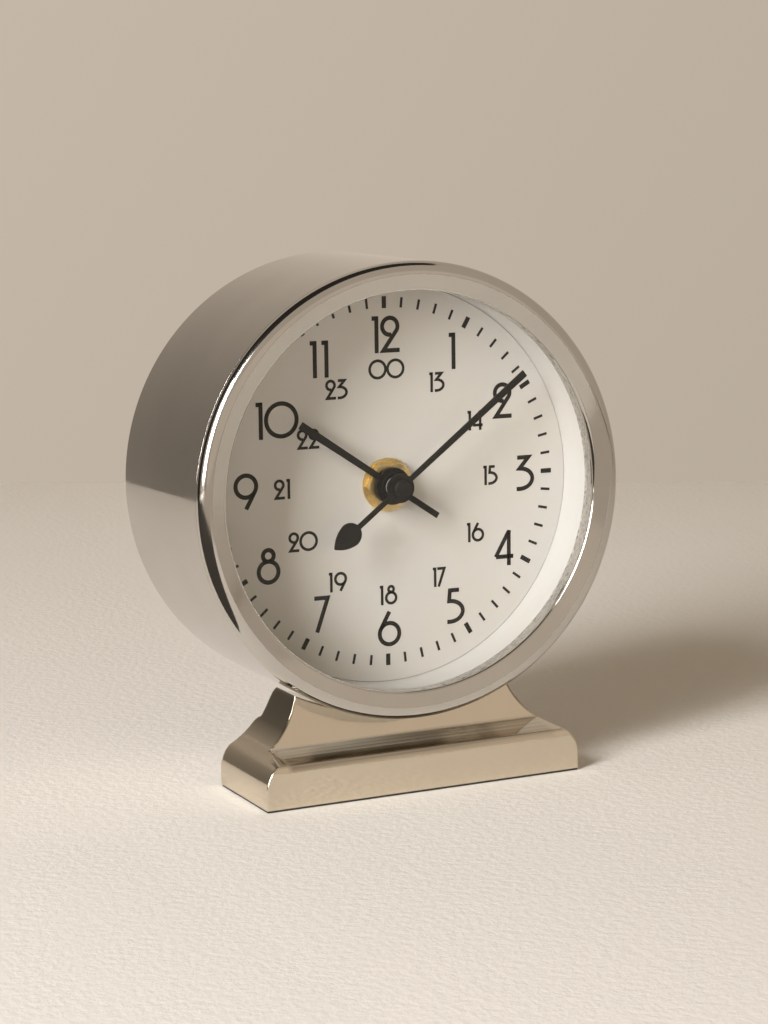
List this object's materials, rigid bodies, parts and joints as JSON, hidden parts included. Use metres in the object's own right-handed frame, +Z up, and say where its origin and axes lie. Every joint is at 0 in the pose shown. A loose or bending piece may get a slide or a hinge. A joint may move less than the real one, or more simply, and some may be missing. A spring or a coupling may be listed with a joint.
{
  "type": "drum desk clock",
  "caption": "Round polished metal desk clock: a drum case with a glazed white dial and dark hands, standing on a stepped pedestal, with a quartz movement and battery reached from behind.",
  "frame": {"origin": "centre of the pedestal's underside, on the table", "axes": "+Z up, -Y is the way the dial faces, +X to the right of a person reading the dial"},
  "size_m": [0.114, 0.0553, 0.1321],
  "materials": {
    "polished_case": "polished nickel plate",
    "polished_pedestal": "polished warm nickel plate on a casting",
    "clear_glass": "clear, ground edge",
    "white_ring": "satin white",
    "dial_paint": "matt white paint with black print",
    "black_plastic": "fine grained black",
    "black_hands": "matt black paint",
    "brass": "turned brass",
    "white_plastic": "natural acetal",
    "steel": "zinc plated",
    "black_rubber": "matt black",
    "magnet": "sintered",
    "copper_wire": "enamelled copper",
    "board": "green lacquer",
    "cell_jacket": "plain printed jacket"
  },
  "bodies": {
    "case": {"case_drum": "polished_case", "bezel_ring": "polished_case", "lens_glass": "clear_glass", "rehaut_ring": "white_ring", "dial_plate": "dial_paint", "back_cover": "black_plastic", "cover_lugs": "steel", "back_cover_screws": "steel", "pedestal": "polished_pedestal", "pedestal_pad": "black_rubber", "pedestal_screws": "steel", "pedestal_washers": "steel", "movement_front_plate": "black_plastic", "movement_case": "black_plastic", "threaded_bush": "brass", "rubber_gasket": "black_rubber", "brass_washer": "brass", "hex_nut": "brass", "stator": "steel", "coil_core": "steel", "coil_bobbin": "black_plastic", "coil_winding": "copper_wire", "circuit_board": "board", "timing_chip": "black_plastic", "quartz_crystal": "steel", "contact_negative": "steel", "contact_positive": "steel"},
    "minute_group": {"minute_arbor": "brass", "minute_collet": "black_hands", "minute_hand": "black_hands", "hand_cap": "black_hands"},
    "hour_group": {"hour_wheel": "white_plastic", "hour_collet": "black_hands", "hour_hand": "black_hands"},
    "minute_wheel_body": {"minute_wheel": "white_plastic"},
    "setting_group": {"setting_shaft": "white_plastic", "setting_knob": "black_plastic"},
    "rotor_group": {"rotor_pinion": "white_plastic", "rotor_magnet": "magnet"},
    "intermediate_body": {"intermediate_wheel": "white_plastic"},
    "second_body": {"second_wheel": "white_plastic"},
    "third_body": {"third_wheel": "white_plastic"},
    "centre_body": {"centre_wheel": "white_plastic"},
    "battery_body": {"battery": "cell_jacket"}
  },
  "joints": [
    {"name": "minute_turn", "type": "hinge", "parent": "case", "child": "minute_group", "pos_m": [0, 0.00879, 0.07514], "axis": [0, 1, 0], "continuous": true},
    {"name": "hour_turn", "type": "hinge", "parent": "case", "child": "hour_group", "pos_m": [0, 0.00879, 0.07514], "axis": [0, 1, 0], "continuous": true},
    {"name": "minute_wheel_turn", "type": "hinge", "parent": "case", "child": "minute_wheel_body", "pos_m": [0.00902, 0.00879, 0.07186], "axis": [0, 1, 0], "continuous": true},
    {"name": "setting_turn", "type": "hinge", "parent": "case", "child": "setting_group", "pos_m": [0.01837, 0.00879, 0.07726], "axis": [0, 1, 0], "continuous": true},
    {"name": "rotor_turn", "type": "hinge", "parent": "case", "child": "rotor_group", "pos_m": [-0.01503, 0.00879, 0.08635], "axis": [0, 1, 0], "continuous": true},
    {"name": "intermediate_turn", "type": "hinge", "parent": "case", "child": "intermediate_body", "pos_m": [-0.01083, 0.00879, 0.07908], "axis": [0, 1, 0], "continuous": true},
    {"name": "second_turn", "type": "hinge", "parent": "case", "child": "second_body", "pos_m": [0, 0.00879, 0.07514], "axis": [0, 1, 0], "continuous": true},
    {"name": "third_turn", "type": "hinge", "parent": "case", "child": "third_body", "pos_m": [0.00394, 0.00879, 0.08597], "axis": [0, 1, 0], "continuous": true},
    {"name": "centre_turn", "type": "hinge", "parent": "case", "child": "centre_body", "pos_m": [0, 0.00879, 0.07514], "axis": [0, 1, 0], "continuous": true},
    {"name": "battery_slide", "type": "slide", "parent": "case", "child": "battery_body", "axis": [0, 1, 0], "range_m": [0, 0.034]}
  ],
  "couplings": [
    {"joint": "hour_turn", "follows": "minute_turn", "ratio": 0.083333},
    {"joint": "minute_wheel_turn", "follows": "minute_turn", "ratio": -0.33333},
    {"joint": "setting_turn", "follows": "minute_turn", "ratio": 0.66667},
    {"joint": "intermediate_turn", "follows": "rotor_turn", "ratio": -0.16667},
    {"joint": "second_turn", "follows": "rotor_turn", "ratio": 0.033333},
    {"joint": "third_turn", "follows": "rotor_turn", "ratio": -0.0044444},
    {"joint": "centre_turn", "follows": "rotor_turn", "ratio": 0.00055556}
  ]
}
